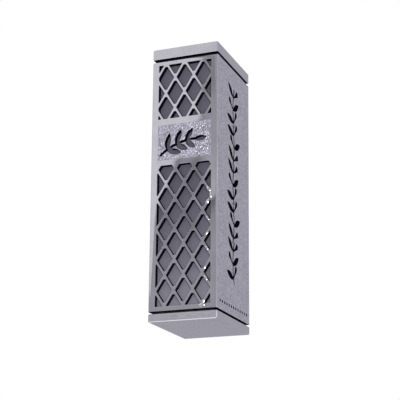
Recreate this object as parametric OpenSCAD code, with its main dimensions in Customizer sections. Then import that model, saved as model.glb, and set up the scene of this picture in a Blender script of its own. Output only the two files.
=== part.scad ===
// Mezuzah case: a pierced metal case round a dark inner core, on a wall plate.
// Millimetres. +Z is up, -Y is the front. The origin is the centre of the back face at mid-height.

/* [Case] */
// Width of the case
case_w = 25; // [24.4:0.1:30]
// Depth of the case, from the wall to the front face
case_d = 32.6; // [31:0.1:40]
// Height of the case with both caps
case_h = 100; // [98:1:104]
// Thickness of the face plate and of the side panels
panel_t = 2; // [1.6:0.1:2.2]
// Bevel along the outer edges of the panels and caps
bevel = 0.4; // [0.2:0.1:0.8]

/* [Caps] */
// Thickness of the top cap
top_cap_t = 3.9; // [3:0.1:5]
// Height of the black gap under the top cap
top_gap = 1.2; // [0.8:0.1:2]
// Thickness of the bottom cap
bottom_cap_t = 2.8; // [2.6:0.1:5]
// Height of the black gap over the bottom cap
bottom_gap = 0.8; // [0.8:0.1:2]

/* [Front] */
// Width of the two lattice windows and of the plaque
window_w = 20.1; // [18:0.1:20.4]
// Height of the upper lattice window
upper_window_h = 20.6; // [18:0.1:20.9]
// Height of the lower lattice window
lower_window_h = 50.3; // [48:0.1:50.6]
// Height of the plaque between the windows
plaque_h = 13.1; // [11:0.1:13.4]
// Frame above the upper window
top_rail = 1.4; // [1.2:0.1:1.6]
// Plain band between the upper window and the plaque
upper_band = 2.4; // [1.8:0.1:2.6]
// Plain band between the plaque and the lower window
lower_band = 1.9; // [1.6:0.1:2.1]
// Distance between the upper lattice's crossings along a row
upper_pitch_x = 7.1; // [6.8:0.02:7.4]
// Distance between the upper lattice's crossings along a column
upper_pitch_z = 11.62; // [11.2:0.02:11.8]
// Distance between the lower lattice's crossings along a row
lower_pitch_x = 6.88; // [6.7:0.02:7.2]
// Distance between the lower lattice's crossings along a column
lower_pitch_z = 10.88; // [10.8:0.02:11.2]
// Width of a lattice bar
bar_w = 0.85; // [0.7:0.05:1.2]
// Height of the web that fills each crossing
web_h = 2.8; // [2.4:0.1:3.4]
// Width of the rim round each lattice, let into the face plate
rim_w = 0.5; // [0.3:0.05:0.6]

/* [Branch on the sides] */
// Height of one bend of the branch's stem
bend_h = 14.4; // [12:0.2:15]
// How far the stem swings to each side
bend_swing = 1.2; // [0.6:0.1:1.5]
// Width of the stem's slot
stem_w = 0.9; // [0.6:0.05:1]
// Number of bends
bends = 5; // [3:1:5]
// Pairs of leaves and buds on each bend
pairs = 3; // [2:1:3]
// Length of a leaf
leaf_l = 7; // [5:0.1:7.4]
// Width of a leaf
leaf_w = 2.4; // [1.6:0.1:2.5]
// Radius of a bud
bud_r = 1.1; // [0.8:0.05:1.2]

/* [Scroll] */
// Radius of the bore that holds the scroll
bore_r = 8; // [7.8:0.1:8.2]
// Outer radius of the scroll's tube
tube_r = 7; // [6.8:0.1:7.2]
// Height of the rolled parchment
parchment_h = 72; // [60:1:72]

/* [Wall mount] */
// Distance between the two wall screws
screw_spacing = 68; // [60:1:74]
// Radius of a wall screw's hole
wall_hole_r = 1.7; // [1.5:0.1:2]
// Thickness of the wall plate
plate_t = 2.4; // [2.2:0.1:2.5]

/* [Hidden] */
$fn = 64;
eps = 0.01;

// heights
top_z = case_h / 2;
bottom_z = -case_h / 2;
body_top = top_z - top_cap_t - top_gap;
body_bottom = bottom_z + bottom_cap_t + bottom_gap;
body_h = body_top - body_bottom;
upper_window_top = body_top - top_rail;
upper_window_bottom = upper_window_top - upper_window_h;
plaque_top = upper_window_bottom - upper_band;
plaque_bottom = plaque_top - plaque_h;
lower_window_top = plaque_bottom - lower_band;
lower_window_bottom = lower_window_top - lower_window_h;

// the core sits inside the panels and behind it lies the wall plate
plate_gap = 0.2;
core_w = case_w - 2 * panel_t;
core_back = -plate_t - plate_gap;
core_front = -case_d + panel_t;
core_mid = (core_back + core_front) / 2;

// small parts
magnet_r = 3;
magnet_t = 1.6;
magnet_x = 5.5;
magnet_z = 20;
pin_r = 1.25;
pin_z = 27;
running_gap = 0.05;
cap_screw_r = 1.25;
cap_screw_head_r = 2.4;
cap_screw_y = 11;
punch_marks_n = 13;
punch_step = 2.2;
punch_r = 0.55;
punch_over_foot = 3;
branch_lift = 1.3;
plug_h = 6;
pad_t = 1.6;
tube_h = 82;
tube_wall = 0.8;
tube_bottom = body_bottom + plug_h + pad_t + 0.2;
stopper_depth = 4;
stopper_flange = 1;

// ---- shared shapes ----

// a flat shape drawn in X and Z, made t deep and set with its back at y
module facing_front(y, t) {
    translate([0, y, 0]) rotate([90, 0, 0]) linear_extrude(t) children();
}

// a flat shape drawn in Y and Z, made t wide and set with its inner side at x
module facing_side(x, t) {
    translate([x, 0, 0]) rotate([90, 0, 90]) linear_extrude(t) children();
}

// a rectangle between two corners
module span(x0, y0, x1, y1) {
    translate([x0, y0]) square([x1 - x0, y1 - y0]);
}

// a cylinder along Y from y0 back to y1
module rod_y(r, y0, y1) {
    translate([0, max(y0, y1), 0]) rotate([90, 0, 0]) cylinder(r = r, h = abs(y1 - y0));
}

// the four places of the holding magnets
module at_magnets() {
    for (sx = [-1, 1], sz = [-1, 1]) translate([sx * magnet_x, 0, sz * magnet_z]) children();
}

// the two places of the locating pins
module at_pins() {
    for (sz = [-1, 1]) translate([0, 0, sz * pin_z]) children();
}

// the two places of the top cap's screws
module at_cap_screws() {
    for (sy = [-1, 1]) translate([0, core_mid + sy * cap_screw_y, 0]) children();
}

// a rectangular plate, its side edges and its outer flat edge bevelled
module cap_plate(z0, t, up) {
    x = case_w / 2;
    translate([0, 0, z0]) mirror([0, 0, up ? 0 : 1]) intersection() {
        linear_extrude(t) polygon([
            [-x, 0], [x, 0], [x, -case_d + bevel], [x - bevel, -case_d],
            [-x + bevel, -case_d], [-x, -case_d + bevel]
        ]);
        facing_front(0, case_d) polygon([
            [-x, 0], [x, 0], [x, t - bevel], [x - bevel, t], [-x + bevel, t], [-x, t - bevel]
        ]);
        facing_side(-x, case_w) polygon([
            [0, 0], [-case_d, 0], [-case_d, t - bevel], [-case_d + bevel, t], [0, t]
        ]);
    }
}

// a countersunk screw pointing down, its head's flat top at z = 0
module countersunk_screw(r, head_r, length, drive_r) {
    head_h = head_r - r;
    difference() {
        union() {
            translate([0, 0, -length]) cylinder(r = r, h = length - head_h + eps);
            translate([0, 0, -head_h]) cylinder(r1 = r, r2 = head_r, h = head_h);
        }
        translate([0, 0, -head_h * 0.7]) cylinder(r = drive_r, h = head_h, $fn = 6);
    }
}

// ---- wall plate ----

module wall_plate() {
    plate_w = core_w - 0.6;
    plate_h = body_h + 0.3;
    sink_t = 1.5;
    color("gainsboro") difference() {
        translate([-plate_w / 2, -plate_t, -plate_h / 2]) cube([plate_w, plate_t, plate_h]);
        for (sz = [-1, 1]) translate([0, 0, sz * screw_spacing / 2]) {
            rod_y(wall_hole_r, 1, -plate_t - 1);
            translate([0, -plate_t + sink_t, 0]) rotate([90, 0, 0])
                cylinder(r1 = wall_hole_r, r2 = wall_hole_r + sink_t, h = sink_t);
        }
        at_magnets() rod_y(magnet_r, -plate_t - 1, -plate_t + magnet_t);
        at_pins() rod_y(pin_r, 1, -plate_t - 1);
    }
}

module plate_magnets() {
    color("darkgray") at_magnets() rod_y(magnet_r, -plate_t, -plate_t + magnet_t);
}

module locating_pins() {
    color("silver") at_pins() rod_y(pin_r, 0, core_back - 2.5);
}

// ---- case ----

module inner_core() {
    color("dimgray") difference() {
        translate([-core_w / 2, core_front, body_bottom])
            cube([core_w, core_back - core_front, body_h]);
        translate([0, core_mid, body_bottom - 1]) cylinder(r = bore_r, h = body_h + 2);
        at_magnets() rod_y(magnet_r, core_back + 1, core_back - magnet_t);
        at_pins() rod_y(pin_r + running_gap, core_back + 1, core_back - 3);
        at_cap_screws() translate([0, 0, body_top - 7])
            cylinder(r = cap_screw_r + running_gap, h = 8);
    }
}

module case_magnets() {
    color("darkgray") at_magnets() rod_y(magnet_r, core_back, core_back - magnet_t);
}

// the opening of a window, or with grow above 0 the outline of its lattice's rim
module window(bottom, top, grow = 0) {
    x = window_w / 2 + grow;
    span(-x, bottom - grow, x, top + grow);
}

module upper_window(grow = 0) {
    window(upper_window_bottom, upper_window_top, grow);
}

module lower_window(grow = 0) {
    window(lower_window_bottom, lower_window_top, grow);
}

module plaque_field() {
    window(plaque_bottom, plaque_top);
}

module face_plate() {
    x = case_w / 2;
    color("silver") intersection() {
        facing_front(core_front, panel_t) difference() {
            span(-x, body_bottom, x, body_top);
            upper_window(rim_w);
            lower_window(rim_w);
            plaque_field();
        }
        translate([0, 0, body_bottom]) linear_extrude(body_h) polygon([
            [-x, core_front], [x, core_front], [x, -case_d + bevel], [x - bevel, -case_d],
            [-x + bevel, -case_d], [-x, -case_d + bevel]
        ]);
    }
}

// crossed bars with a web in each crossing; one crossing lies at x = 0 and height z0
module crossed_bars(z0, reach, pitch_x, pitch_z) {
    lean = atan(pitch_z / pitch_x);
    for (k = [-reach:reach], side = [-1, 1])
        translate([k * pitch_x, z0]) rotate(side * lean) square([200, bar_w], center = true);
    for (i = [-3:3], j = [-2 * reach:2 * reach]) if ((i + j) % 2 == 0)
        translate([i * pitch_x / 2, z0 + j * pitch_z / 2]) square([0.9, web_h], center = true);
}

module upper_lattice() {
    row_over_edge = 0.6;
    color("silver") facing_front(core_front, panel_t) {
        difference() {
            upper_window(rim_w);
            upper_window();
        }
        intersection() {
            upper_window(eps);
            crossed_bars(upper_window_top + row_over_edge, 4, upper_pitch_x, upper_pitch_z);
        }
    }
}

// short necks join the topmost crossings to the rail above them
module lower_lattice() {
    row_above_edge = 5.22;
    neck_w = 1.2;
    color("silver") facing_front(core_front, panel_t) {
        difference() {
            lower_window(rim_w);
            lower_window();
        }
        intersection() {
            lower_window(eps);
            union() {
                crossed_bars(lower_window_bottom + row_above_edge - lower_pitch_z / 2, 8,
                    lower_pitch_x, lower_pitch_z);
                for (sx = [-1, 1]) translate([sx * lower_pitch_x / 2, lower_window_top - 0.5])
                    square([neck_w, 2], center = true);
            }
        }
    }
}

// a leaf drawn along +X from the origin
module leaf(length, width) {
    r = (length * length + width * width) / (4 * width);
    intersection() {
        translate([length / 2, r - width / 2]) circle(r);
        translate([length / 2, -(r - width / 2)]) circle(r);
    }
}

// a bud on a thin stalk, drawn along +X from the origin
module bud(length, r) {
    translate([length - r, 0]) circle(r);
    polygon([[0, -0.2], [length - r, -r], [length - r, r], [0, 0.2]]);
}

// a short arc of stem between the angles a0 and a1
module stem_arc(r, a0, a1, w) {
    far = 3 * r;
    intersection() {
        difference() {
            circle(r + w / 2);
            circle(r - w / 2);
        }
        polygon([
            [0, 0], [far * cos(a0), far * sin(a0)],
            [far * cos((a0 + a1) / 2), far * sin((a0 + a1) / 2)], [far * cos(a1), far * sin(a1)]
        ]);
    }
}

// the pierced sprig: one bowed stem, its leaves growing smaller towards the leaf at its tip
module sprig() {
    bow_r = 17;
    root_a = 131;
    tip_a = 91;
    leaf_step = 11.5;
    translate([3.3, -bow_r - 0.2]) {
        stem_arc(bow_r, tip_a - 1, root_a, 0.85);
        for (k = [0:2]) rotate(root_a - 8 - k * leaf_step) translate([bow_r, 0]) {
            rotate(-42) leaf(5.6 - 0.5 * k, 2.0 - 0.1 * k);
            rotate(-138) leaf(5.2 - 0.5 * k, 1.9 - 0.1 * k);
        }
        rotate(tip_a) translate([bow_r, 0]) rotate(-90) leaf(4.6, 1.8);
    }
}

module emblem_plaque() {
    color("lightgray") facing_front(core_front, panel_t) difference() {
        plaque_field();
        translate([0, (plaque_top + plaque_bottom) / 2 + 0.4]) scale(1.12) sprig();
    }
}

// an olive branch, pierced through a side panel, with its middle at the origin:
// a gently swinging stem with leaves and buds by turns on both its sides
module branch() {
    r = (bend_h * bend_h / 4 + bend_swing * bend_swing) / (2 * bend_swing);
    half = asin(bend_h / 2 / r);
    for (k = [0:bends - 1]) {
        swing = k % 2 == 0 ? -1 : 1;
        z = (k - (bends - 1) / 2) * bend_h;
        translate([0, z]) mirror([swing < 0 ? 1 : 0, 0]) translate([bend_swing / 2 - r, 0]) {
            stem_arc(r, -half, half, stem_w);
            for (m = [0:pairs - 1], side = [-1, 1]) {
                leaf_turn = (m + k * pairs) % 2 == (side > 0 ? 0 : 1);
                rotate(((m + 0.3) * 2 / pairs - 1) * half) translate([r, 0])
                    mirror([side < 0 ? 1 : 0, 0])
                        if (leaf_turn) rotate(30) leaf(leaf_l, leaf_w);
                        else rotate(45) bud(leaf_l - 1.4, bud_r);
            }
        }
    }
}

// a row of small punch marks near the foot of a side
module punch_marks() {
    for (k = [0:punch_marks_n - 1])
        translate([
            case_w / 2 + eps,
            -case_d / 2 + (k - (punch_marks_n - 1) / 2) * punch_step,
            body_bottom + punch_over_foot
        ])
            rotate([0, -90, 0]) cylinder(r1 = punch_r, r2 = 0, h = punch_r, $fn = 24);
}

module side_panel(side) {
    inner = case_w / 2 - panel_t;
    mirror([side < 0 ? 1 : 0, 0, 0]) difference() {
        facing_side(inner, panel_t) difference() {
            span(core_front, body_bottom, 0, body_top);
            translate([-case_d / 2, branch_lift]) branch();
        }
        punch_marks();
    }
}

module side_panel_left() {
    color("silver") side_panel(-1);
}

module side_panel_right() {
    color("silver") side_panel(1);
}

module top_gasket() {
    color("black") difference() {
        translate([-core_w / 2, core_front, body_top])
            cube([core_w, core_back - core_front, top_gap]);
        at_cap_screws() translate([0, 0, body_top - 1])
            cylinder(r = cap_screw_r + 0.15, h = top_gap + 2);
    }
}

module top_cap() {
    head_h = cap_screw_head_r - cap_screw_r;
    color("silver") difference() {
        cap_plate(top_z - top_cap_t, top_cap_t, true);
        at_cap_screws() translate([0, 0, top_z - top_cap_t - 1]) {
            cylinder(r = cap_screw_r + 0.15, h = top_cap_t + 2);
            translate([0, 0, top_cap_t + 1 - head_h])
                cylinder(r1 = cap_screw_r + 0.15, r2 = cap_screw_head_r + 0.15, h = head_h + eps);
        }
    }
}

module top_cap_screws() {
    color("gray") at_cap_screws() translate([0, 0, top_z])
        countersunk_screw(cap_screw_r, cap_screw_head_r, 11, 0.9);
}

// ---- scroll ----

module scroll_tube() {
    color("whitesmoke", 0.4) translate([0, core_mid, tube_bottom]) difference() {
        cylinder(r = tube_r, h = tube_h);
        translate([0, 0, -1]) cylinder(r = tube_r - tube_wall, h = tube_h + 2);
    }
}

module tube_stoppers() {
    inner = tube_r - tube_wall;
    color("whitesmoke") translate([0, core_mid, tube_bottom]) {
        cylinder(r = inner, h = stopper_depth);
        translate([0, 0, tube_h - stopper_depth]) cylinder(r = inner, h = stopper_depth);
        translate([0, 0, tube_h]) cylinder(r = tube_r - 0.2, h = stopper_flange);
    }
}

// one sheet rolled into a spiral, its turns a little apart
module parchment_scroll() {
    sheet_t = 0.28;
    turn_gap = 0.2;
    inner = 2;
    turns = 7;
    steps = 26;
    function at(k, out) =
        let (a = 360 * k / steps, r = inner + (sheet_t + turn_gap) * k / steps + out)
        [r * cos(a), r * sin(a)];
    rim = [for (k = [0:turns * steps]) at(k, sheet_t)];
    core = [for (k = [turns * steps:-1:0]) at(k, 0)];
    color("wheat") translate([0, core_mid, tube_bottom + (tube_h - parchment_h) / 2])
        linear_extrude(parchment_h) polygon(concat(rim, core));
}

// ---- bottom cap ----

module bottom_cap() {
    color("silver") difference() {
        cap_plate(bottom_z + bottom_cap_t, bottom_cap_t, false);
        translate([0, core_mid, bottom_z + 1]) cylinder(r = 1 + running_gap, h = bottom_cap_t);
    }
}

module bottom_gasket() {
    color("black") difference() {
        translate([-core_w / 2, core_front, bottom_z + bottom_cap_t])
            cube([core_w, core_back - core_front, bottom_gap]);
        translate([0, core_mid, bottom_z]) cylinder(r = bore_r - 0.2, h = 10);
    }
}

module bottom_plug() {
    color("dimgray") translate([0, core_mid, bottom_z + bottom_cap_t]) difference() {
        cylinder(r = bore_r - 0.2, h = bottom_gap + plug_h);
        translate([0, 0, bottom_gap + 2.4]) rotate_extrude()
            translate([bore_r - 1.1, 0]) square([2, 1.5]);
        translate([0, 0, -1]) cylinder(r = 1.1, h = 20);
        translate([0, 0, bottom_gap + plug_h - 1]) cylinder(r1 = 1.1, r2 = 2.2, h = 1.1);
    }
}

module plug_oring() {
    color("black") translate([0, core_mid, bottom_z + bottom_cap_t + bottom_gap + 3.15])
        rotate_extrude() translate([bore_r - 0.05 - 0.5, 0]) circle(0.5);
}

module plug_screw() {
    length = plug_h + bottom_gap + bottom_cap_t - 1.2;
    color("gray") translate([0, core_mid, bottom_z + bottom_cap_t + bottom_gap + plug_h - 0.1])
        countersunk_screw(1, 2, length, 0.7);
}

module cushion_pad() {
    color("black") translate([0, core_mid, body_bottom + plug_h]) cylinder(r = bore_r - 0.8, h = pad_t);
}

wall_plate();
plate_magnets();
locating_pins();
inner_core();
face_plate();
upper_lattice();
lower_lattice();
emblem_plaque();
side_panel_left();
side_panel_right();
case_magnets();
top_gasket();
top_cap();
top_cap_screws();
scroll_tube();
tube_stoppers();
parchment_scroll();
bottom_cap();
bottom_gasket();
bottom_plug();
plug_oring();
plug_screw();
cushion_pad();
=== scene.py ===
"""Mezuzah case: a pierced metal case round a dark core, on its wall plate, with the scroll inside.

Everything is worked out in millimetres and written to Blender in metres, in the CAD frame:
+Z up, -Y the lattice front, the origin at the centre of the back face at mid-height.
"""

import math

import bmesh
import bpy
import numpy as np
from mathutils import Matrix, Vector, noise
from mathutils.geometry import delaunay_2d_cdt


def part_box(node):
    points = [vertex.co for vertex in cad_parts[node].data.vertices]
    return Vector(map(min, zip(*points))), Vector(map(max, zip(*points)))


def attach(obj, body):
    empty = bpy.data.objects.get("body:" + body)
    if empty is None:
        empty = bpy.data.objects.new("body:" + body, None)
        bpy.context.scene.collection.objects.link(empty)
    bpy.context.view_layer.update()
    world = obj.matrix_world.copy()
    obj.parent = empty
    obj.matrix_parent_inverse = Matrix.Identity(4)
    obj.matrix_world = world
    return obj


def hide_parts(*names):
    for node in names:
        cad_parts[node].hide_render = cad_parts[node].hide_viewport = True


MM = 0.001

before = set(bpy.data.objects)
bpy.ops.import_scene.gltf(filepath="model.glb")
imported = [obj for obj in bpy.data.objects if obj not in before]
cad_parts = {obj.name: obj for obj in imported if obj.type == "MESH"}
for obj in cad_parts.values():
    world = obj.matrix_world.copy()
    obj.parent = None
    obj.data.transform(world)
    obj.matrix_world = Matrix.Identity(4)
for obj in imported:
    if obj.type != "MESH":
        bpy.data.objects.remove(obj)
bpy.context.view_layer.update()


# ------------------------ sizes, in mm


def node_box(node):
    """Lowest and highest corner of a CAD node, in millimetres."""
    low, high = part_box(node)
    return Vector(low) / MM, Vector(high) / MM


face_low, face_high = node_box("face_plate")

HALF_W = face_high.x
FRONT = face_low.y
PANEL_T = face_high.y - face_low.y
BODY_BOTTOM, BODY_TOP = face_low.z, face_high.z

RIM_W = 0.5
BAR_W = 0.85
WEB_H = 2.8
SMALLEST_OPENING = 0.7
UPPER_PITCH = (7.1, 11.62)
LOWER_PITCH = (6.88, 10.88)
UPPER_ROW_OVER_EDGE = 0.72
LOWER_ROW_OVER_EDGE = 5.36
UPPER_MID, LOWER_MID = -0.2, 0.2

PUNCH_MARKS, PUNCH_STEP, PUNCH_R, PUNCH_OVER_FOOT = 13, 2.2, 0.55, 3.0
BRANCH_LIFT = 1.3
SPRIG_SCALE, SPRIG_LIFT = 1.12, 0.4

EDGE_BEVEL = 0.28
CAP_BEVEL = 0.3
BAR_BEVEL = 0.12
HOLE_BEVEL = 0.06
GRAIN_SEED = 7
CONTOUR_STEP = 0.1

SCREW_HEAD_R = 2.4
TUBE_WALL = 0.8


# ------------------------ flat shapes


def signed_area(points):
    x, y = np.asarray(points).T
    return 0.5 * float(np.sum(x * np.roll(y, -1) - np.roll(x, -1) * y))


def rectangle(u0, v0, u1, v1):
    return [(u0, v0), (u1, v0), (u1, v1), (u0, v1)]


def circle(cu, cv, radius, count=48):
    turn = 2 * math.pi / count
    return [(cu + radius * math.cos(k * turn), cv + radius * math.sin(k * turn)) for k in range(count)]


def grown(points, distance):
    """The closed outline moved outwards by a distance, or inwards by a negative one."""
    p = np.asarray(points, float)
    side = 1.0 if signed_area(p) > 0 else -1.0
    ahead = np.roll(p, -1, axis=0) - p
    ahead /= np.linalg.norm(ahead, axis=1)[:, None]
    normal = np.stack([ahead[:, 1], -ahead[:, 0]], axis=1) * side
    before = np.roll(normal, 1, axis=0)
    mitre = normal + before
    mitre /= (1 + np.sum(normal * before, axis=1))[:, None]
    return p + mitre * distance


def clipped(points, u0, v0, u1, v1):
    """A convex outline cut to a rectangle."""
    for axis, limit, sign in ((0, u0, 1), (0, u1, -1), (1, v0, 1), (1, v1, -1)):
        kept = []
        for a, b in zip(points, points[1:] + points[:1]):
            da, db = sign * (a[axis] - limit), sign * (b[axis] - limit)
            if da >= 0:
                kept.append(a)
            if (da >= 0) != (db >= 0):
                t = da / (da - db)
                kept.append((a[0] + t * (b[0] - a[0]), a[1] + t * (b[1] - a[1])))
        points = kept
        if len(points) < 3:
            return []
    return points


def rounded(points, radius, steps=5):
    """A convex outline with its corners rounded; radius is a number or a function of the corner."""
    out = []
    count = len(points)
    for k in range(count):
        a, b, c = (Vector(points[(k + d) % count]) for d in (-1, 0, 1))
        to_a, to_c = (a - b), (c - b)
        len_a, len_c = to_a.length, to_c.length
        to_a.normalize()
        to_c.normalize()
        half = to_a.angle(to_c) / 2
        wanted = radius(b) if callable(radius) else radius
        cut = min(wanted / math.tan(half), 0.42 * len_a, 0.42 * len_c)
        r = cut * math.tan(half)
        centre = b + (to_a + to_c).normalized() * (r / math.sin(half))
        start = b + to_a * cut - centre
        end = b + to_c * cut - centre
        sweep = start.angle_signed(end)
        for s in range(steps + 1):
            spoke = Matrix.Rotation(-sweep * s / steps, 2) @ start
            out.append(tuple(centre + spoke))
    return out


def inside_loops(points, loops):
    """Even-odd test of many points against closed outlines."""
    px, py = points[:, 0][:, None], points[:, 1][:, None]
    inside = np.zeros(len(points), bool)
    for loop in loops:
        a = np.asarray(loop)
        b = np.roll(a, -1, axis=0)
        crosses = (a[:, 1] > py) != (b[:, 1] > py)
        rise = np.where(b[:, 1] == a[:, 1], 1.0, b[:, 1] - a[:, 1])
        at = a[:, 0] + (py - a[:, 1]) * (b[:, 0] - a[:, 0]) / rise
        inside ^= (np.sum(crosses & (px < at), axis=1) % 2).astype(bool)
    return inside


# ------------------------ distance fields for the pierced ornament


def turned(p, degrees):
    a = math.radians(degrees)
    c, s = math.cos(a), math.sin(a)
    return np.stack([p[..., 0] * c + p[..., 1] * s, -p[..., 0] * s + p[..., 1] * c], axis=-1)


def moved(p, u, v):
    return p - np.array([u, v])


def leaf_field(p, length, width):
    """Distance to a leaf that grows along +u from the origin."""
    r = (length**2 + width**2) / (4 * width)
    upper = np.hypot(p[..., 0] - length / 2, p[..., 1] - (r - width / 2)) - r
    lower = np.hypot(p[..., 0] - length / 2, p[..., 1] + (r - width / 2)) - r
    return np.maximum(upper, lower)


def bud_field(p, length, radius):
    """Distance to a bud on a thin stalk that grows along +u from the origin."""
    along = np.clip(p[..., 0] / (length - radius), 0, 1)
    thick = 0.2 + (radius - 0.2) * along**1.5
    return np.hypot(p[..., 0] - along * (length - radius), p[..., 1]) - thick


def arc_field(p, radius, a0, a1, width):
    """Distance to a stroke along a circle between two angles in degrees."""
    middle = (a0 + a1) / 2
    q = turned(p, middle)
    half = math.radians((a1 - a0) / 2)
    angle = np.arctan2(q[..., 1], q[..., 0])
    held = np.clip(angle, -half, half)
    return np.hypot(q[..., 0] - radius * np.cos(held), q[..., 1] - radius * np.sin(held)) - width / 2


def joined(a, b, soft=0.12):
    """The union of two fields with a small fillet where they meet."""
    h = np.clip(0.5 + 0.5 * (b - a) / soft, 0, 1)
    return b * (1 - h) + a * h - soft * h * (1 - h)


def sprig_field(p):
    """The emblem: one bowed stem with three pairs of leaves and a leaf at its tip."""
    bow, root, tip, step = 17.0, 131.0, 91.0, 11.5
    q = moved(p, 3.3, -bow - 0.2)
    d = arc_field(q, bow, tip - 1, root, 0.85)
    for k in range(3):
        at = moved(turned(q, root - 8 - k * step), bow, 0)
        d = joined(d, leaf_field(turned(at, -42), 5.6 - 0.5 * k, 2.0 - 0.1 * k))
        d = joined(d, leaf_field(turned(at, -138), 5.2 - 0.5 * k, 1.9 - 0.1 * k))
    at = moved(turned(q, tip), bow, 0)
    return joined(d, leaf_field(turned(at, -90), 4.6, 1.8))


def branch_field(p):
    """The ornament of a side: a gently swinging stem with leaves and buds by turns."""
    bend_h, swing, stem_w, bends, pairs, leaf_l, leaf_w, bud_r = 14.4, 1.2, 0.9, 5, 3, 7.0, 2.4, 1.1
    r = (bend_h**2 / 4 + swing**2) / (2 * swing)
    half = math.degrees(math.asin(bend_h / 2 / r))
    d = np.full(p.shape[:-1], 1e3)
    for k in range(bends):
        way = -1 if k % 2 == 0 else 1
        q = moved(p, 0, (k - (bends - 1) / 2) * bend_h) * np.array([way, 1])
        q = moved(q, swing / 2 - r, 0)
        d = joined(d, arc_field(q, r, -half, half, stem_w))
        for m in range(pairs):
            at = moved(turned(q, ((m + 0.3) * 2 / pairs - 1) * half), r, 0)
            for side in (-1, 1):
                grow = at * np.array([side, 1])
                if (m + k * pairs) % 2 == (0 if side > 0 else 1):
                    d = joined(d, leaf_field(turned(grow, 30), leaf_l, leaf_w))
                else:
                    d = joined(d, bud_field(turned(grow, 45), leaf_l - 1.4, bud_r))
    return d


def contours(field, level, low, high, step):
    """Closed outlines where a field equals a level, found on a grid between two corners."""
    us = np.arange(low[0], high[0] + step, step)
    vs = np.arange(low[1], high[1] + step, step)
    grid = np.stack(np.meshgrid(us, vs, indexing="ij"), axis=-1)
    value = field(grid) - level
    value[value == 0] = 1e-9
    inside = value < 0
    mixed = inside[:-1, :-1] * 1 + inside[1:, :-1] + inside[1:, 1:] + inside[:-1, 1:]
    links = {}

    def link(a, b):
        links.setdefault(a, []).append(b)
        links.setdefault(b, []).append(a)

    for i, j in np.argwhere((mixed > 0) & (mixed < 4)):
        i, j = int(i), int(j)
        corner = [(i, j), (i + 1, j), (i + 1, j + 1), (i, j + 1)]
        side = [(0, i, j), (1, i + 1, j), (0, i, j + 1), (1, i, j)]
        cut = [side[k] for k in range(4) if inside[corner[k]] != inside[corner[(k + 1) % 4]]]
        if len(cut) == 4:
            centre_in = value[i : i + 2, j : j + 2].mean() < 0
            if bool(inside[i, j]) != bool(centre_in):
                cut = [cut[3], *cut[:3]]
        for a, b in zip(cut[::2], cut[1::2]):
            link(a, b)

    def place(edge):
        way, i, j = edge
        i2, j2 = (i + 1, j) if way == 0 else (i, j + 1)
        t = value[i, j] / (value[i, j] - value[i2, j2])
        return grid[i, j] + (grid[i2, j2] - grid[i, j]) * t

    loops, seen = [], set()
    for first in links:
        if first in seen:
            continue
        loop, here, last = [], first, None
        while here not in seen:
            seen.add(here)
            loop.append(here)
            ahead = [n for n in links[here] if n != last and n not in seen]
            last = here
            if not ahead:
                break
            here = ahead[0]
        if len(loop) > 8:
            loops.append(thinned(np.array([place(e) for e in loop])))
    return loops


def thinned(points, tolerance=0.006, longest=0.9, passes=5):
    """An outline without the points that lie almost on the line between their neighbours."""
    for _ in range(passes):
        keep = np.ones(len(points), bool)
        for odd in (0, 1):
            idx = np.arange(odd, len(points) - (len(points) % 2), 2)
            alive = keep[idx - 1] & keep[(idx + 1) % len(points)]
            a, b, c = points[idx - 1], points[idx], points[(idx + 1) % len(points)]
            ac = c - a
            length = np.linalg.norm(ac, axis=1) + 1e-12
            off = np.abs(ac[:, 0] * (b - a)[:, 1] - ac[:, 1] * (b - a)[:, 0]) / length
            keep[idx[(off < tolerance) & alive & (length < longest)]] = False
        points = points[keep]
    return points


# ------------------------ meshes


def quarter_round(size, steps=3):
    """(inset, depth) pairs of a quarter round from the front face to the wall."""
    turns = [math.pi / 2 * k / steps for k in range(steps + 1)]
    return [(size * (1 - math.sin(a)), size * (1 - math.cos(a))) for a in turns]


def chamfer(size, ease=0.04):
    """(inset, depth) pairs of a flat bevel with slightly eased edges."""
    return [(size + ease, 0), (size - ease, ease), (ease, size - ease), (0, size + ease)]


def rim(outline, profile, mats, hole=True, blind=False):
    """One closed edge of a slab: rings from the front to the back.

    profile holds (inset into the material, depth) pairs, and mats the material of each band.
    """
    sign = 1 if hole else -1
    rings = [(grown(outline, sign * inset) if inset else np.asarray(outline, float), depth)
             for inset, depth in profile]
    return {"rings": rings, "mats": mats, "blind": blind}


def fill(bm, loops, verts, keep, material, extra=(), extra_verts=()):
    """Triangles over the region that keep() accepts, with the loops as edges."""
    points, edges, owners = [], [], []
    for loop, ring in zip(loops, verts):
        start = len(points)
        points += [Vector(p) for p in loop]
        owners += ring
        edges += [(start + k, start + (k + 1) % len(loop)) for k in range(len(loop))]
    points += [Vector(p) for p in extra]
    owners += list(extra_verts)
    made, _, faces, origin, _, _ = delaunay_2d_cdt(points, edges, [], 0, 1e-6)
    corner = np.array([tuple(p) for p in made])
    triangles = [f for f in faces if len(f) == 3]
    centres = np.array([corner[list(f)].mean(axis=0) for f in triangles])
    for f, ok in zip(triangles, keep(centres)):
        own = [origin[k] for k in f]
        if not ok or not all(own):
            continue
        corners = [owners[o[0]] for o in own]
        if len(set(corners)) == 3 and not bm.faces.get(corners):
            bm.faces.new(corners).material_index = material


def band(bm, ring, next_ring, material):
    """Quads between two rings of as many vertices."""
    for j in range(len(ring)):
        n = (j + 1) % len(ring)
        bm.faces.new((ring[j], ring[n], next_ring[n], next_ring[j])).material_index = material


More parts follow.
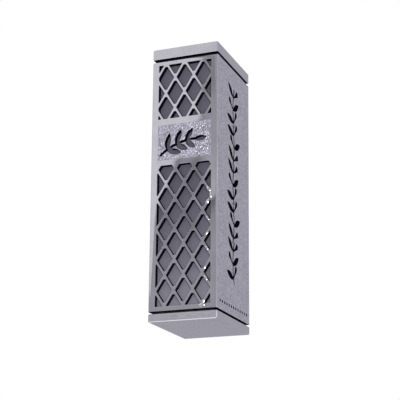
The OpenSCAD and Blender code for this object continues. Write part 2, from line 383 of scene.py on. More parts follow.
def slab(rims, place, creases=(), grains=(), back_mat=1, keep_front=None):
    """A closed slab from its rims. place(u, v, depth) gives the point in millimetres.

    creases are (outline, depth) loops in the front face, and grains (points, depths) inside it.
    """
    bm = bmesh.new()

    def ring_verts(points, depth):
        return [bm.verts.new(Vector(place(u, v, depth)) * MM) for u, v in points]

    fronts, backs = [], []
    for r in rims:
        rings = [ring_verts(points, depth) for points, depth in r["rings"]]
        for ring, next_ring, material in zip(rings, rings[1:], r["mats"]):
            band(bm, ring, next_ring, material)
        fronts.append((r["rings"][0][0], rings[0]))
        if r["blind"]:
            bm.faces.new(rings[-1]).material_index = r["mats"][-1]
        else:
            backs.append((r["rings"][-1][0], rings[-1]))
    bound = [loop for loop, _ in fronts]
    keep = keep_front or (lambda c: inside_loops(c, bound))
    loops, verts = [loop for loop, _ in fronts], [v for _, v in fronts]
    for outline, depth in creases:
        loops.append(outline)
        verts.append(ring_verts(outline, depth))
    extra, extra_verts = (), ()
    if grains:
        extra = grains[0]
        extra_verts = [bm.verts.new(Vector(place(u, v, d)) * MM) for (u, v), d in zip(*grains)]
    fill(bm, loops, verts, keep, 0, extra, extra_verts)
    back_loops = [loop for loop, _ in backs]
    fill(bm, back_loops, [v for _, v in backs], lambda c: inside_loops(c, back_loops), back_mat)
    bmesh.ops.delete(bm, geom=[v for v in bm.verts if not v.link_faces], context="VERTS")
    bmesh.ops.recalc_face_normals(bm, faces=bm.faces)
    return bm


def lathe(profile, centre, z0, count):
    """A solid of revolution about a vertical axis; profile holds (radius, height) pairs, closed."""
    bm = bmesh.new()
    rings = []
    for radius, height in profile:
        if radius < 1e-6:
            rings.append([bm.verts.new(Vector((centre[0], centre[1], z0 + height)) * MM)])
        else:
            rings.append([bm.verts.new(Vector((centre[0] + u, centre[1] + v, z0 + height)) * MM)
                          for u, v in circle(0, 0, radius, count)])
    for k in range(len(rings)):
        a, b = rings[k], rings[(k + 1) % len(rings)]
        for j in range(count):
            n = (j + 1) % count
            corners = [a[j % len(a)], a[n % len(a)], b[n % len(b)], b[j % len(b)]]
            corners = [v for i, v in enumerate(corners) if v not in corners[:i]]
            if len(corners) >= 3:
                bm.faces.new(corners)
    bmesh.ops.recalc_face_normals(bm, faces=bm.faces)
    return bm


def merged(meshes):
    """Several bmeshes as one."""
    whole = bmesh.new()
    for bm in meshes:
        part = bpy.data.meshes.new("part")
        bm.to_mesh(part)
        bm.free()
        whole.from_mesh(part)
        bpy.data.meshes.remove(part)
    return whole


def placed(name, data):
    """A new object in the scene for a mesh, a light or a camera."""
    obj = bpy.data.objects.new(name, data)
    bpy.context.scene.collection.objects.link(obj)
    return obj


def piece(name, bm, body, nodes, materials, sharp=32):
    """A finished mesh as a piece that rides on a body and stands for CAD nodes."""
    mesh = bpy.data.meshes.new(name)
    bm.to_mesh(mesh)
    bm.free()
    for m in materials:
        mesh.materials.append(m)
    mesh.shade_smooth()
    mesh.set_sharp_from_angle(angle=math.radians(sharp))
    obj = placed(name, mesh)
    flat = obj.modifiers.new("flat_faces", "WEIGHTED_NORMAL")
    flat.keep_sharp = True
    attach(obj, body)
    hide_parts(*nodes)


# ------------------------ materials


class Shader:
    """A small helper round a material's nodes."""

    def __init__(self, name):
        self.mat = bpy.data.materials.new(name)
        self.mat.use_nodes = True
        self.nodes = self.mat.node_tree.nodes
        self.links = self.mat.node_tree.links
        self.bsdf = self.nodes["Principled BSDF"]
        coords = self.nodes.new("ShaderNodeTexCoord")
        scale = self.nodes.new("ShaderNodeVectorMath")
        scale.operation = "SCALE"
        scale.inputs["Scale"].default_value = 1 / MM
        self.links.new(coords.outputs["Object"], scale.inputs[0])
        self.place = scale.outputs[0]

    def set(self, **values):
        for key, value in values.items():
            self.bsdf.inputs[key.replace("_", " ")].default_value = value

    def stretched(self, x, y, z, turn=(0, 0, 0)):
        node = self.nodes.new("ShaderNodeMapping")
        node.inputs["Scale"].default_value = (x, y, z)
        node.inputs["Rotation"].default_value = [math.radians(a) for a in turn]
        self.links.new(self.place, node.inputs["Vector"])
        return node.outputs["Vector"]

    def noise(self, scale, detail=3, rough=0.55, where=None):
        node = self.nodes.new("ShaderNodeTexNoise")
        node.inputs["Scale"].default_value = scale
        node.inputs["Detail"].default_value = detail
        node.inputs["Roughness"].default_value = rough
        self.links.new(where or self.place, node.inputs["Vector"])
        return node.outputs["Fac"]

    def height(self, start, end):
        """0 at one height and 1 at another, in millimetres."""
        split = self.nodes.new("ShaderNodeSeparateXYZ")
        self.links.new(self.place, split.inputs[0])
        return self.spread(split.outputs["Z"], 0, 1, start, end)

    def ramp(self, fac, stops):
        node = self.nodes.new("ShaderNodeValToRGB")
        while len(node.color_ramp.elements) < len(stops):
            node.color_ramp.elements.new(0.5)
        for element, (at, colour) in zip(node.color_ramp.elements, stops):
            element.position = at
            element.color = (*colour, 1)
        self.links.new(fac, node.inputs["Fac"])
        return node.outputs["Color"]

    def spread(self, fac, low, high, from_low=0.3, from_high=0.7):
        node = self.nodes.new("ShaderNodeMapRange")
        node.inputs["From Min"].default_value = from_low
        node.inputs["From Max"].default_value = from_high
        node.inputs["To Min"].default_value = low
        node.inputs["To Max"].default_value = high
        self.links.new(fac, node.inputs["Value"])
        return node.outputs["Result"]

    def blend(self, a, b, amount=0.5):
        node = self.nodes.new("ShaderNodeMix")
        node.inputs["Factor"].default_value = amount
        self.links.new(a, node.inputs["A"])
        self.links.new(b, node.inputs["B"])
        return node.outputs["Result"]

    def feed(self, socket, output):
        self.links.new(output, self.bsdf.inputs[socket])

    def bump(self, height, depth_mm, strength=1.0):
        node = self.nodes.new("ShaderNodeBump")
        node.inputs["Strength"].default_value = strength
        node.inputs["Distance"].default_value = depth_mm * MM
        self.links.new(height, node.inputs["Height"])
        self.feed("Normal", node.outputs["Normal"])


def grey(value, tint=(1.0, 0.985, 1.03)):
    return tuple(value * t for t in tint)


def metal(name, low, high, rough, grain, grain_depth, where=(1, 1, 1), tint=(1.0, 0.995, 1.01),
          speckle=0.45):
    """Solid metal: a cloudy tone, a rougher and a smoother state, and a fine grain."""
    s = Shader(name)
    s.set(Metallic=1.0)
    cloud = s.noise(0.35, 4)
    streak = s.noise(grain, 3, 0.6, s.stretched(*where))
    tone = s.blend(cloud, streak, speckle)
    s.feed("Base Color", s.ramp(tone, [(0.3, grey(low, tint)), (0.7, grey(high, tint))]))
    s.feed("Roughness", s.spread(streak, rough[0], rough[1]))
    s.bump(streak, grain_depth)
    return s.mat


front_metal = metal("front_metal", 0.56, 0.67, (0.02, 0.055), 6.0, 0.0003, (1, 1, 0.35))
polished_edge = metal("polished_edge", 0.74, 0.86, (0.06, 0.12), 5.0, 0.001)
lattice_metal = metal("lattice_metal", 0.57, 0.68, (0.02, 0.055), 5.0, 0.0003, (1, 1, 0.5))
side_metal = metal("side_metal", 0.50, 0.89, (0.42, 0.55), 1.5, 0.06, (1, 0.6, 1),
                   tint=(1.0, 0.99, 1.045), speckle=0.8)
cap_metal = metal("cap_metal", 0.64, 0.76, (0.2, 0.32), 4.0, 0.003, (0.08, 0.08, 1))
stipple_metal = metal("stipple_metal", 0.24, 0.94, (0.34, 0.48), 1.7, 0.004,
                      tint=(1.0, 0.985, 1.08), speckle=0.8)
plate_metal = metal("plate_metal", 0.5, 0.62, (0.25, 0.4), 8.0, 0.006, (1, 1, 0.06))
screw_steel = metal("screw_steel", 0.42, 0.55, (0.2, 0.32), 9.0, 0.003)
nickel = metal("nickel", 0.6, 0.72, (0.1, 0.2), 5.0, 0.001)


def black_oxide_and_shade():
    """The near-black of the openings' walls, the gaps and other hollows: partly a bluish black oxide,
    partly painted shade standing in for the shadow inside them.
    """
    s = Shader("black_oxide_and_shade")
    s.set(Specular_IOR_Level=0.08)
    spots = s.noise(3.0, 4)
    tint = (0.7, 0.65, 2.2)
    s.feed("Base Color", s.ramp(spots, [(0.3, grey(0.002, tint)), (0.75, grey(0.006, tint))]))
    s.feed("Roughness", s.spread(spots, 0.6, 0.85))
    s.bump(spots, 0.01)
    return s.mat


def dark_core():
    """Dark anodised metal with faint brush lines that run aslant, with painted light that makes it a little
    paler towards the foot.
    """
    s = Shader("dark_core")
    s.set(Metallic=0.1, Specular_IOR_Level=0.25)
    lines = s.noise(2.6, 4, 0.65, s.stretched(1, 1, 0.12, (0, 35, 0)))
    cloud = s.noise(0.4, 3)
    # Painted light: the tone mostly follows height, 0 at the top and 1 at the foot, so the core is paler
    # towards the foot.
    painted_foot_light = s.height(BODY_TOP, BODY_BOTTOM)
    tint, foot_tint = (1.0, 0.97, 1.21), (1.0, 0.975, 1.13)
    tone = s.blend(s.blend(lines, cloud, 0.4), painted_foot_light, 0.8)
    s.feed("Base Color", s.ramp(tone, [(0.1, grey(0.122, tint)), (0.5, grey(0.105, tint)),
                                       (0.7, grey(0.147, tint)), (0.9, grey(0.235, foot_tint))]))
    s.feed("Roughness", s.spread(lines, 0.5, 0.65))
    s.bump(lines, 0.01)
    return s.mat


def rubber(name, value, pore, depth):
    s = Shader(name)
    grain = s.noise(pore, 4, 0.7)
    s.feed("Base Color", s.ramp(grain, [(0.3, grey(value * 0.7)), (0.75, grey(value * 1.4))]))
    s.feed("Roughness", s.spread(grain, 0.62, 0.85))
    s.bump(grain, depth)
    return s.mat


def plastic(name, low, high, rough):
    s = Shader(name)
    cloud = s.noise(1.2, 3)
    fine = s.noise(14.0, 2)
    s.feed("Base Color", s.ramp(cloud, [(0.3, low), (0.7, high)]))
    s.feed("Roughness", s.spread(fine, rough[0], rough[1]))
    s.bump(fine, 0.004)
    return s.mat


def clear_tube():
    s = Shader("clear_acrylic")
    s.set(IOR=1.49, Transmission_Weight=1.0)
    haze = s.noise(1.5, 3)
    s.feed("Base Color", s.ramp(haze, [(0.3, (0.93, 0.96, 0.97)), (0.7, (0.98, 0.99, 1.0))]))
    s.feed("Roughness", s.spread(haze, 0.03, 0.08))
    return s.mat


def parchment():
    s = Shader("parchment")
    s.set(Subsurface_Weight=0.15, Subsurface_Scale=0.0005)
    blotch = s.noise(0.35, 5, 0.6)
    fibre = s.noise(6.0, 5, 0.7, s.stretched(1, 1, 0.3))
    s.feed("Base Color", s.ramp(s.blend(blotch, fibre, 0.4), [
        (0.25, (0.50, 0.37, 0.21)), (0.5, (0.72, 0.60, 0.41)), (0.75, (0.82, 0.73, 0.55))]))
    s.feed("Roughness", s.spread(fibre, 0.6, 0.8))
    s.bump(fibre, 0.02)
    return s.mat


# Near-black finish for walls and hollows: partly oxide, partly painted shade.
oxide_and_shade = black_oxide_and_shade()
core_dark = dark_core()
gasket_rubber = rubber("gasket_rubber", 0.012, 6.0, 0.01)
foam = rubber("foam", 0.03, 4.0, 0.08)
plug_plastic = plastic("plug_plastic", (0.022, 0.022, 0.025), (0.034, 0.034, 0.037), (0.38, 0.5))
stopper_plastic = plastic("stopper_plastic", (0.70, 0.70, 0.67), (0.80, 0.80, 0.78), (0.3, 0.42))
tube_plastic = clear_tube()
parchment_skin = parchment()

# Places in each piece's list of materials.
METAL, WALL, POLISHED, SIDE = 0, 1, 2, 3


# ------------------------ the front


def on_front(u, v, depth):
    return (u, FRONT + depth, v)


def window_of(node):
    """A lattice window inside its rim: u0, v0, u1, v1."""
    low, high = node_box(node)
    return low.x + RIM_W, low.z + RIM_W, high.x - RIM_W, high.z - RIM_W


def lattice_openings(window, row_z, mid, pitch, corner):
    """The openings between crossed bars; a crossing lies at u = mid and height row_z.

    A small web fills each crossing, so the openings have blunt ends.
    """
    u0, v0, u1, v1 = window
    shrink = 1 - BAR_W / 2 * math.hypot(2 / pitch[0], 2 / pitch[1])
    half_u, half_v = shrink * pitch[0] / 2, shrink * pitch[1] / 2
    reach = (pitch[1] - WEB_H) / 2
    reach_u = int((u1 - u0) / pitch[0]) + 2
    reach_v = int(2 * (v1 - v0) / pitch[1]) + 3
    openings = []
    for i in range(-reach_u, reach_u + 1):
        for j in range(-3, reach_v + 1):
            if (i + j) % 2 == 0:
                continue
            cu, cv = mid + i * pitch[0] / 2, row_z - j * pitch[1] / 2
            diamond = [(cu + half_u, cv), (cu, cv + half_v), (cu - half_u, cv), (cu, cv - half_v)]
            cut = clipped(diamond, u0, max(v0, cv - reach), u1, min(v1, cv + reach))
            if cut and abs(signed_area(cut)) > SMALLEST_OPENING:
                openings.append(rounded(cut, corner))
    return openings


def flush_rim(low, high, hole):
    """A square edge without a bevel, where one piece is let in flush with another."""
    return rim(rectangle(low.x, low.z, high.x, high.z), [(0, 0), (0, PANEL_T)], [WALL], hole)


def opening_rim(outline):
    """An opening between bars: rounded where it meets the front, with a dark wall."""
    profile = quarter_round(BAR_BEVEL) + [(0, PANEL_T)]
    return rim(outline, profile, [METAL] * 3 + [WALL])


def pierced(field, low, high):
    """The rims and the front creases of the openings where a field is negative."""
    wall, crease = (contours(field, level, low, high, CONTOUR_STEP) for level in (0, HOLE_BEVEL))
    rims = [{"rings": [(loop, HOLE_BEVEL), (loop, PANEL_T)], "mats": [WALL], "blind": False}
            for loop in wall]
    return rims, [(loop, 0.0) for loop in crease]


# The x of the drops above and below each joint at the window's right border, from the top, and a size.
DROPS = ((9.25, 8.85, 1.6), (9.0, 8.65, 1.15), (8.7, 8.0, 1.15), (8.4, 7.55, 1.4))


def solder_drops(window, row_z, mid, pitch):
    """Small drops of solder on the bars at the window's right border, at one joint and at the foot."""
    u1, v0 = window[2], window[1]
    lean, joint_u = math.atan2(pitch[1], pitch[0]), mid + 1.5 * pitch[0]
    drops = []
    for k, (above, below, size) in enumerate(DROPS):
        joint_v = row_z - (k + 1.5) * pitch[1]
        for u, way in ((above, 1), (below, -1)):
            at = (u, joint_v + way * (joint_u - u) * pitch[1] / pitch[0])
            drops.append(drop_mesh(at, -way * lean, 0.75 * size, 0.4 * size, 0.2 * size))
    drops.append(drop_mesh((u1 + 0.02, row_z - 1.5 * pitch[1]), math.pi / 2, 1.4, 0.5, 0.25))
    drops.append(drop_mesh((7.0, v0 - 0.45), 0, 1.2, 0.62, 0.3))
    return drops


def drop_mesh(at, turn, half_l, half_w, height, rings=5, count=18):
    """A low dome lying on a bar, long along the bar."""
    bm = bmesh.new()
    c, s = math.cos(turn), math.sin(turn)

    def vert(r, a, depth):
        x, y = r * half_l * math.cos(a), r * half_w * math.sin(a)
        return bm.verts.new(Vector(on_front(at[0] + c * x - s * y, at[1] + s * x + c * y, depth)) * MM)

    angles = [2 * math.pi * k / count for k in range(count)]
    layers = [[vert(1, a, 0.05) for a in angles]]
    for k in range(rings):
        b = math.pi / 2 * k / rings
        layers.append([vert(math.cos(b), a, -height * math.sin(b)) for a in angles])
    for low, high in zip(layers, layers[1:]):
        band(bm, low, high, POLISHED)
    for end in (layers[0], layers[-1]):
        bm.faces.new(end).material_index = POLISHED
    bmesh.ops.recalc_face_normals(bm, faces=bm.faces)
    return bm


def make_lattice(name, row_over, row_edge_is_top, mid, pitch, corner, drops=False):
    """Crossed bars in their rim; row_over is a row of crossings' height over the window's edge."""
    low, high = node_box(name)
    window = window_of(name)
    if row_edge_is_top:
        row_z = window[3] + row_over
    else:
        row_z = window[1] + row_over - pitch[1] / 2
        row_z += pitch[1] * math.ceil((window[3] - row_z) / pitch[1])
    rims = [flush_rim(low, high, False)]
    rims += [opening_rim(o) for o in lattice_openings(window, row_z, mid, pitch, corner)]
    bars = slab(rims, on_front)
    if drops:
        bars = merged([bars] + solder_drops(window, row_z, mid, pitch))
    piece(name + "_bars", bars, "case", [name],
          [lattice_metal, oxide_and_shade, polished_edge], sharp=14 if drops else 12)


def make_face_plate():
    """The frame round both windows, with polished bevels down its two outer edges."""
    end_share = 0.2

    def outline(inset):
        top, bottom = BODY_TOP - end_share * inset, BODY_BOTTOM + end_share * inset
        return np.array(rectangle(-HALF_W + inset, bottom, HALF_W - inset, top))

    rings = [(outline(inset), depth) for inset, depth in chamfer(EDGE_BEVEL) + [(0, PANEL_T)]]
    rims = [{"rings": rings, "mats": [POLISHED] * 3 + [METAL], "blind": False}]
    for node in ("upper_lattice", "lower_lattice", "emblem_plaque"):
        rims.append(flush_rim(*node_box(node), True))
    bm = slab(rims, on_front)
    for face in bm.faces:
        # The end faces at the top and bottom gaps take the near-black wall finish: painted shade in the
        # gaps.
        if abs(face.normal.z) > 0.9:
            face.material_index = WALL
        elif abs(face.normal.x) > 0.95:
            face.material_index = SIDE
    piece("face_frame", bm, "case", ["face_plate"],
          [front_metal, oxide_and_shade, polished_edge, side_metal])


def make_plaque():
    """The stippled plaque: punched grains in the surface, and the sprig pierced through it."""
    low, high = node_box("emblem_plaque")
    mid_u, mid_v = (low.x + high.x) / 2, (low.z + high.z) / 2
    border, grain_step, jitter, clear = 1.0, 0.125, 0.05, 0.06
    punch_w, punch_r, punch_depth, fade = 0.46, 0.62, 0.17, 0.6

    def field(p):
        return SPRIG_SCALE * sprig_field(moved(p, mid_u, mid_v + SPRIG_LIFT) / SPRIG_SCALE)

    openings, creases = pierced(field, (low.x + border, low.z + border), (high.x - border, high.z - border))
    us = np.arange(low.x + 2 * grain_step, high.x - 0.2, grain_step)
    vs = np.arange(low.z + 2 * grain_step, high.z - 0.2, grain_step)
    grid = np.stack(np.meshgrid(us, vs, indexing="ij"), axis=-1).reshape(-1, 2)
    noise.seed_set(GRAIN_SEED)  # noise_vector otherwise changes from run to run
    shift = [noise.noise_vector(Vector((u * 3.1, v * 3.1, 7.0))) for u, v in grid]
    grid = grid + jitter * np.array([(s.x, s.y) for s in shift])
    grid = grid[field(grid) > HOLE_BEVEL + clear]
    depths = []
    for u, v in grid:
        near = noise.voronoi(Vector((u / punch_w, v / punch_w, 0.5)))[0][0]
        dimple = max(0.0, 1 - (near / punch_r) ** 2)
        coarse = noise.noise(Vector((u / 0.9, v / 0.9, 0.0)))
        edge = min(u - low.x, high.x - u, v - low.z, high.z - v)
        depths.append(min(1.0, edge / fade) * (punch_depth * dimple - 0.04 * coarse - 0.02))
    bm = slab([flush_rim(low, high, False)] + openings, on_front, creases, grains=(grid, depths),
              keep_front=lambda c: field(c) > 0)
    piece("stippled_plaque", bm, "case", ["emblem_plaque"], [stipple_metal, oxide_and_shade],
          sharp=60)


def corner_round(corner):
    """Openings have fuller corners along the top rail of the lower window."""
    top = window_of("lower_lattice")[3]
    return 0.65 if abs(corner.y - top) < 0.01 else 0.22


make_face_plate()
make_lattice("upper_lattice", UPPER_ROW_OVER_EDGE, True, UPPER_MID, UPPER_PITCH, 0.16)
make_lattice("lower_lattice", LOWER_ROW_OVER_EDGE, False, LOWER_MID, LOWER_PITCH, corner_round,
             drops=True)
make_plaque()


# ------------------------ the sides


def make_side(side):
    """A side panel pierced by the branch, with a row of punch marks at its foot."""
    reach_u, border, edge_round = 8, 2, 0.06
    name = "side_panel_right" if side > 0 else "side_panel_left"
    low, high = node_box(name)

    def place(u, v, depth):
        return (side * (HALF_W - depth), u, v)

    def field(p):
        return branch_field(moved(p, FRONT / 2, BRANCH_LIFT))

    openings, creases = pierced(field, (FRONT / 2 - reach_u, low.z + border),
                                (FRONT / 2 + reach_u, high.z - border))
    outline = rim(rectangle(low.y, low.z, high.y, high.z),
                  quarter_round(edge_round, 2) + [(0, PANEL_T)], [METAL, METAL, WALL], False)
    rims = [outline] + openings
    for k in range(PUNCH_MARKS):
        along = FRONT / 2 + (k - (PUNCH_MARKS - 1) / 2) * PUNCH_STEP
        mark = circle(along, BODY_BOTTOM + PUNCH_OVER_FOOT, PUNCH_R, 16)
        rims.append(rim(mark, [(0, 0), (-PUNCH_R * 0.85, PUNCH_R * 0.85)], [WALL], blind=True))
    bound = [r["rings"][0][0] for r in rims if r is outline or r["blind"]]
    bm = slab(rims, place, creases, keep_front=lambda c: (field(c) > 0) & inside_loops(c, bound))
    piece(name + "_pierced", bm, "case", [name], [side_metal, oxide_and_shade], sharp=40)


for side in (-1, 1):
    make_side(side)


# ------------------------ caps


def block_outline(low, high):
    """A cap from above: its front corners bevelled, its back corners square."""
    left, right, turn = low.x + CAP_BEVEL, high.x - CAP_BEVEL, low.y + CAP_BEVEL
    return [(left, low.y), (right, low.y), (high.x, turn), (high.x, high.y), (low.x, high.y), (low.x, turn)]


def cap_rims(low, high, depth):
    """The cap's edge: a bevel along the outer side and a finer one along the side at the gap."""
    fine = 0.08
    profile = chamfer(CAP_BEVEL) + [(0, depth - fine), (fine, depth)]
    mats = [POLISHED] * 3 + [METAL, POLISHED]
    return rim(block_outline(low, high), profile, mats, hole=False)


def polish_corners(bm):
    """The upright bevels of a cap's front corners are polished too."""
    bm.normal_update()
    for face in bm.faces:
        if abs(face.normal.z) < 0.1 and 0.5 < abs(face.normal.x) < 0.9:
            face.material_index = POLISHED


def make_top_cap():
    """The top cap, with a countersunk hole for each of its two screws."""
    low, high = node_box("top_cap")
    hole_r, sink_depth = 1.4, 1.2
    depth = high.z - low.z
    rims = [cap_rims(low, high, depth)]
    screw_low, screw_high = node_box("top_cap_screws")
    profile = [(1.25, 0), (1.15, 0.05), (0, sink_depth), (0, depth)]
    for cy in (screw_low.y + SCREW_HEAD_R, screw_high.y - SCREW_HEAD_R):
        rims.append(rim(circle(0, cy, hole_r), profile, [POLISHED, METAL, WALL]))
    # The underside, facing the gap, is filled with the near-black wall finish: painted shade in the gap.
    bm = slab(rims, lambda u, v, d: (u, v, high.z - d))
    polish_corners(bm)
    piece("top_cap_block", bm, "case", ["top_cap"], [cap_metal, oxide_and_shade, polished_edge])


def make_bottom_cap():
    low, high = node_box("bottom_cap")
    # The top face, facing the gap, is filled with the near-black wall finish: painted shade in the gap.
    bm = slab([cap_rims(low, high, high.z - low.z)], lambda u, v, d: (u, v, low.z + d))
    polish_corners(bm)
    piece("bottom_cap_block", bm, "bottom_cap", ["bottom_cap"],
          [cap_metal, oxide_and_shade, polished_edge])


def screw_mesh(centre, top, radius, head_r, length, drive_r, drive_depth):
    """A countersunk screw that points down, with a six-sided socket in its head."""
    head_h = head_r - radius
    head = rim(circle(*centre, head_r),
               [(0.12, 0), (0.03, 0.04), (0, 0.1), (head_h, head_h + 0.1), (head_h, length - 0.4),
                (head_h + 0.35, length)], [POLISHED] * 2 + [METAL] * 3, hole=False)
    socket = rim(circle(*centre, drive_r, 6), [(0.06, 0), (0, 0.06), (0, drive_depth)],
                 [METAL, WALL, WALL], blind=True)
    return slab([head, socket], lambda u, v, d: (u, v, top - d), back_mat=METAL)


def make_cap_screws():
    low, high = node_box("top_cap_screws")
    bms = [screw_mesh((0, cy), high.z - 0.02, radius=1.25, head_r=SCREW_HEAD_R, length=10.9,
                      drive_r=0.95, drive_depth=1.0)
           for cy in (low.y + SCREW_HEAD_R, high.y - SCREW_HEAD_R)]
    piece("cap_screws", merged(bms), "case", ["top_cap_screws"],
          [screw_steel, oxide_and_shade, nickel])


make_top_cap()
make_bottom_cap()
make_cap_screws()


# ------------------------ what is inside


def soften(node, width, material):
    """A CAD node with its edges eased and a finished material."""
    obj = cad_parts[node]
    for material_slot in obj.material_slots:
        material_slot.material = material
    bevel = obj.modifiers.new("eased_edges", "BEVEL")
    bevel.width = width * MM
    bevel.segments = 2
    bevel.limit_method = "ANGLE"
    bevel.angle_limit = math.radians(40)


tube_low, tube_high = node_box("scroll_tube")
AXIS = ((tube_low.x + tube_high.x) / 2, (tube_low.y + tube_high.y) / 2)


def make_tube():
    outer = (tube_high.x - tube_low.x) / 2
    inner, height, lip = outer - TUBE_WALL, tube_high.z - tube_low.z, 0.25
    profile = [(inner, lip), (inner + lip, 0), (outer - lip, 0), (outer, lip),
               (outer, height - lip), (outer - lip, height), (inner + lip, height), (inner, height - lip)]
    piece("clear_tube", lathe(profile, AXIS, tube_low.z, 72), "scroll", ["scroll_tube"],
          [tube_plastic])


def make_stoppers():
    """A foot stopper with a groove round it, and a head stopper with a flange and a sunk grip."""
    low, high = node_box("tube_stoppers")
    play, head_h = 0.02, 5.0
    inner = (tube_high.x - tube_low.x) / 2 - TUBE_WALL - play
    foot = [(0, 0.1), (inner - 0.3, 0.1), (inner, 0.4), (inner, 1.6), (inner - 0.12, 1.75),
            (inner, 1.9), (inner, 3.6), (inner - 0.4, 4.0), (0, 4.0)]
    flange = (high.x - low.x) / 2
    head = [(0, 0), (inner - 0.4, 0), (inner, 0.4), (inner, 4.0), (flange - 0.25, 4.0), (flange, 4.2),
            (flange, 4.7), (flange - 0.3, 4.98), (2.2, 4.98), (1.6, 4.5), (0, 4.5)]
    bms = [lathe(foot, AXIS, low.z, 64), lathe(head, AXIS, high.z - head_h, 64)]
    piece("stoppers", merged(bms), "scroll", ["tube_stoppers"], [stopper_plastic])


def make_scroll():
    """The sheet rolled up: a spiral whose ends waver a little, as hand-cut skin does."""
    low, high = node_box("parchment_scroll")
    sheet_t, gap, inner, turns, steps = 0.28, 0.2, 2.0, 7, 48
    rows = 24
    bm = bmesh.new()
    skins = []
    for out in (sheet_t, 0.0):
        skin = []
        for k in range(turns * steps + 1):
            a = 2 * math.pi * k / steps
            r = inner + (sheet_t + gap) * k / steps + out
            r += 0.035 * noise.noise(Vector((k * 0.06, 2.0, 0)))
            if out == 0.0:
                r = min(r, inner + (sheet_t + gap) * k / steps + 0.05)
            ends = [0.35 * noise.noise(Vector((k * 0.05, e, 5.0))) - 0.35 for e in (0.0, 9.0)]
            column = []
            for row in range(rows + 1):
                t = row / rows
                z = (low.z - ends[0]) * (1 - t) + (high.z + ends[1]) * t
                wave = 0.03 * noise.noise(Vector((k * 0.08, z * 0.15, 1.0)))
                column.append(bm.verts.new(Vector((
                    AXIS[0] + (r + wave) * math.cos(a), AXIS[1] + (r + wave) * math.sin(a), z)) * MM))
            skin.append(column)
        skins.append(skin)
    outer_skin, inner_skin = skins
    last = turns * steps
    for k in range(last):
        for row in range(rows):
            for skin in skins:
                bm.faces.new((skin[k][row], skin[k + 1][row], skin[k + 1][row + 1], skin[k][row + 1]))
        for row in (0, rows):
            bm.faces.new((outer_skin[k][row], outer_skin[k + 1][row],
                          inner_skin[k + 1][row], inner_skin[k][row]))
    for k in (0, last):
        for row in range(rows):
            bm.faces.new((outer_skin[k][row], outer_skin[k][row + 1],
                          inner_skin[k][row + 1], inner_skin[k][row]))
    bmesh.ops.recalc_face_normals(bm, faces=bm.faces)
    piece("rolled_parchment", bm, "scroll", ["parchment_scroll"], [parchment_skin], sharp=50)


def make_plug():
    """The black plug: chamfered foot, groove for the ring, and a sunk place for its screw."""
    low, high = node_box("bottom_plug")
    ring_low, ring_high = node_box("plug_oring")
    groove_h, groove_depth, ease, sink_r, hole_r = 1.5, 0.9, 0.1, 2.3, 1.15
    r, height = (high.x - low.x) / 2, high.z - low.z
    groove = (ring_low.z + ring_high.z) / 2 - groove_h / 2 - low.z
    over, bed = groove + groove_h, r - groove_depth
    profile = [(r, 0), (r, groove - ease), (r - ease, groove), (bed, groove), (bed, over),
               (r - ease, over), (r, over + ease), (r, height - 0.7), (r - 0.6, height),
               (sink_r, height), (hole_r, height - 1.1), (hole_r, 0)]
    piece("plug_body", lathe(profile, AXIS, low.z, 72), "bottom_cap", ["bottom_plug"],
          [plug_plastic])


def make_ring():
    low, high = node_box("plug_oring")
    wire = (high.z - low.z) / 2
    middle = (high.x - low.x) / 2 - wire
    profile = [(middle + wire * math.cos(a), wire + wire * math.sin(a))
               for a in (2 * math.pi * k / 20 for k in range(20))]
    piece("sealing_ring", lathe(profile, AXIS, low.z, 96), "bottom_cap", ["plug_oring"],
          [gasket_rubber])


def make_plug_screw():
    low, high = node_box("plug_screw")
    bm = screw_mesh(AXIS, high.z, radius=1.0, head_r=2.0, length=high.z - low.z - 0.1,
                    drive_r=0.75, drive_depth=0.8)
    piece("plug_fixing_screw", bm, "bottom_cap", ["plug_screw"],
          [screw_steel, oxide_and_shade, nickel])


def make_pad():
    """An open-cell pad: a disc whose skin is pitted."""
    low, high = node_box("cushion_pad")
    r, height = (high.x - low.x) / 2, high.z - low.z
    rings = [(r * k / 22, height) for k in range(23)]
    profile = [(0, 0)] + [(r * k / 8, 0) for k in range(1, 9)]
    profile += [(r, height * k / 5) for k in range(1, 5)] + rings[::-1]
    bm = lathe(profile, AXIS, low.z, 110)
    for v in bm.verts:
        pit = noise.noise(v.co / (0.55 * MM)) * 0.5 + noise.noise(v.co / (0.28 * MM)) * 0.3
        away = Vector((v.co.x / MM - AXIS[0], v.co.y / MM - AXIS[1], 0))
        if v.co.z / MM > high.z - 0.05:
            v.co.z -= (0.1 + 0.12 * pit) * MM
        elif away.length > r - 0.05:
            v.co -= away.normalized() * (0.08 + 0.1 * pit) * MM
    piece("foam_pad", bm, "bottom_cap", ["cushion_pad"], [foam], sharp=60)


make_tube()
make_stoppers()
make_scroll()
make_plug()
make_ring()
make_plug_screw()
make_pad()
for node, width, material in (
    ("inner_core", 0.15, core_dark), ("top_gasket", 0.08, gasket_rubber),
    ("bottom_gasket", 0.08, gasket_rubber), ("wall_plate", 0.2, plate_metal),
    ("plate_magnets", 0.15, nickel), ("case_magnets", 0.15, nickel),
    ("locating_pins", 0.2, screw_steel),
):
    soften(node, width, material)


# ------------------------ floor, light and camera


def stage_mesh(name, points, faces, material):
    """A mesh that belongs to the stage, in metres."""
    mesh = bpy.data.meshes.new(name)
    mesh.from_pydata(points, [], faces)
    mesh.materials.append(material)
    obj = placed(name, mesh)
    return mesh


def make_floor():
    """A wide pale floor, far below."""
    s = Shader("pale_floor")
    cloud = s.noise(0.002, 2)
    s.feed("Base Color", s.ramp(cloud, [(0.3, (0.84, 0.84, 0.85)), (0.7, (0.88, 0.88, 0.89))]))
    s.set(Roughness=0.8)
    reach, height = 2.5, -0.6
    corners = [(u, v, height) for u, v in rectangle(-reach, -reach, reach, reach)]
    stage_mesh("floor", corners, [(0, 1, 2, 3)], s.mat)


